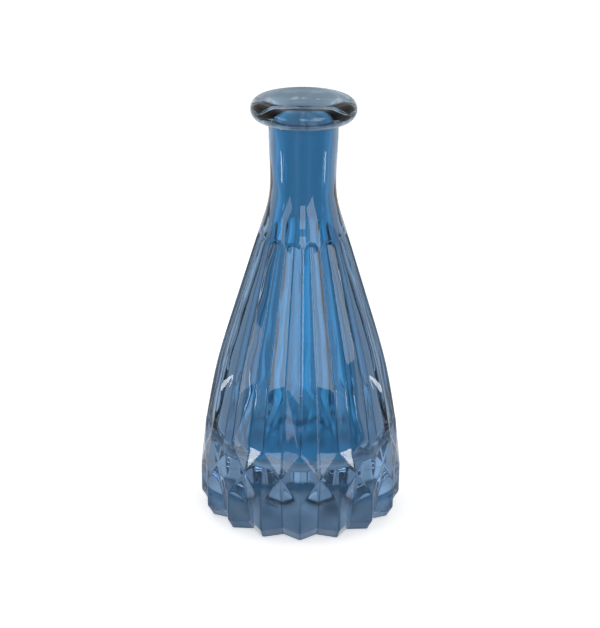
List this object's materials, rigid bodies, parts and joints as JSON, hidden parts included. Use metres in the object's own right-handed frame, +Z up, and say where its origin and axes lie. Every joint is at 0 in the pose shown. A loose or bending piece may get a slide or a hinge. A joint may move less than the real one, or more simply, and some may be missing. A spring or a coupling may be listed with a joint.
{
  "type": "bud vase",
  "caption": "Bottle-shaped glass bud vase with a smooth narrow neck, a rolled lip, long flutes down the body, a band of diamond facets and a star-shaped foot.",
  "frame": {"origin": "centre of the foot's underside, on the vase's axis", "axes": "+Z up along the axis to the mouth, -Y towards the front, where one rib points, +X to the right seen from the front"},
  "size_m": [0.0762, 0.0762, 0.16],
  "materials": {
    "blue_glass": "gloss"
  },
  "bodies": {
    "root": {"glass_vase": "blue_glass"}
  },
  "joints": []
}
